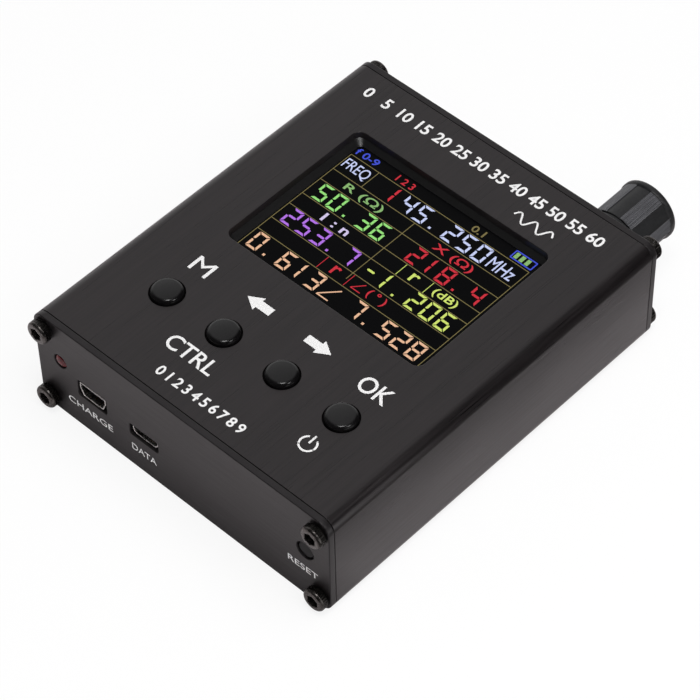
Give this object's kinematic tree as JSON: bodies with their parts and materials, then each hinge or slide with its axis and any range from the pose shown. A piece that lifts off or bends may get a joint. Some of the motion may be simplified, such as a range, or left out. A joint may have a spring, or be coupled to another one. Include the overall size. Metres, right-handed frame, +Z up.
{
  "type": "antenna analyzer",
  "caption": "Hand-held radio antenna analyzer: black extruded metal case, display window, push buttons, end-panel sockets and a capped coaxial antenna jack.",
  "frame": {"origin": "middle of the case's underside, which is the face that it lies on", "axes": "+Y from the socket end to the antenna end, +Z up out of the display, +X to the right of someone reading the display"},
  "size_m": [0.084, 0.1205, 0.0293],
  "materials": {
    "black_anodised_aluminium": "black anodised, fine lengthwise brushing",
    "black_oxide_steel": "black oxide",
    "button_plastic": "moulded black, satin gloss",
    "black_plastic": "moulded black",
    "cap_plastic": "moulded black, fluted",
    "lamp_epoxy": "clear red",
    "display_glass": "polished dark glass",
    "black_foam": "closed-cell foam",
    "amber_film": "polyimide film",
    "socket_steel": "tinned sheet",
    "nickel": "nickel plated",
    "white_plastic": "natural white",
    "gold": "gold plated",
    "copper": "bare copper tube",
    "green_board": "solder-masked glass laminate",
    "silver_foil": "dull",
    "black_rubber": "plain"
  },
  "bodies": {
    "case": {"antenna_jack": "nickel", "battery": "silver_foil", "battery_lead": "black_rubber", "battery_pad": "black_foam", "battery_plug": "white_plastic", "battery_socket": "white_plastic", "board_header": "black_plastic", "board_screw_1": "socket_steel", "board_screw_2": "socket_steel", "board_screw_3": "socket_steel", "board_screw_4": "socket_steel", "board_socket": "black_plastic", "board_standoff_1": "nickel", "board_standoff_2": "nickel", "board_standoff_3": "nickel", "board_standoff_4": "nickel", "charge_lamp": "lamp_epoxy", "charge_socket_shell": "socket_steel", "charge_socket_tongue": "black_plastic", "coax_link": "copper", "data_socket_shell": "socket_steel", "data_socket_tongue": "black_plastic", "display_board": "green_board", "display_flex": "amber_film", "display_frame": "black_plastic", "display_glass": "display_glass", "display_tape": "black_foam", "enter_switch": "black_plastic", "front_panel": "black_anodised_aluminium", "front_panel_screw_1": "black_oxide_steel", "front_panel_screw_2": "black_oxide_steel", "front_panel_screw_3": "black_oxide_steel", "front_panel_screw_4": "black_oxide_steel", "housing": "black_anodised_aluminium", "jack_contact": "gold", "jack_insulator": "white_plastic", "jack_nut": "nickel", "jack_washer": "nickel", "lamp_holder": "black_plastic", "left_switch": "black_plastic", "main_board": "green_board", "menu_switch": "black_plastic", "processor": "black_plastic", "radio_shield": "silver_foil", "rear_panel": "black_anodised_aluminium", "rear_panel_screw_1": "black_oxide_steel", "rear_panel_screw_2": "black_oxide_steel", "rear_panel_screw_3": "black_oxide_steel", "rear_panel_screw_4": "black_oxide_steel", "reset_switch": "black_plastic", "right_switch": "black_plastic", "window_gasket": "black_foam"},
    "menu_key": {"menu_button": "button_plastic"},
    "left_key": {"left_button": "button_plastic"},
    "right_key": {"right_button": "button_plastic"},
    "enter_key": {"enter_button": "button_plastic"},
    "reset_key": {"reset_button": "button_plastic"},
    "cap_carrier": {"cap_seal": "black_rubber"},
    "cap": {"dust_cap": "cap_plastic"}
  },
  "joints": [
    {"name": "menu_press", "type": "slide", "parent": "case", "child": "menu_key", "axis": [0, 0, -1], "range_m": [0, 0.0004], "stiffness_N_per_m": 800, "springref_m": -0.0004},
    {"name": "left_press", "type": "slide", "parent": "case", "child": "left_key", "axis": [0, 0, -1], "range_m": [0, 0.0004], "stiffness_N_per_m": 800, "springref_m": -0.0004},
    {"name": "right_press", "type": "slide", "parent": "case", "child": "right_key", "axis": [0, 0, -1], "range_m": [0, 0.0004], "stiffness_N_per_m": 800, "springref_m": -0.0004},
    {"name": "enter_press", "type": "slide", "parent": "case", "child": "enter_key", "axis": [0, 0, -1], "range_m": [0, 0.0004], "stiffness_N_per_m": 800, "springref_m": -0.0004},
    {"name": "reset_press", "type": "slide", "parent": "case", "child": "reset_key", "axis": [0, 1, 0], "range_m": [0, 0.0004], "stiffness_N_per_m": 800, "springref_m": -0.0004},
    {"name": "cap_advance", "type": "slide", "parent": "case", "child": "cap_carrier", "axis": [0, 1, 0], "range_m": [0, 0.01089]},
    {"name": "cap_unscrew", "type": "hinge", "parent": "cap_carrier", "child": "cap", "pos_m": [0.0259, 0.05, 0.014], "axis": [0, 1, 0], "range_deg": [0, 4320]}
  ],
  "couplings": [
    {"joint": "cap_unscrew", "follows": "cap_advance", "rad_per_m": 6926.7}
  ]
}
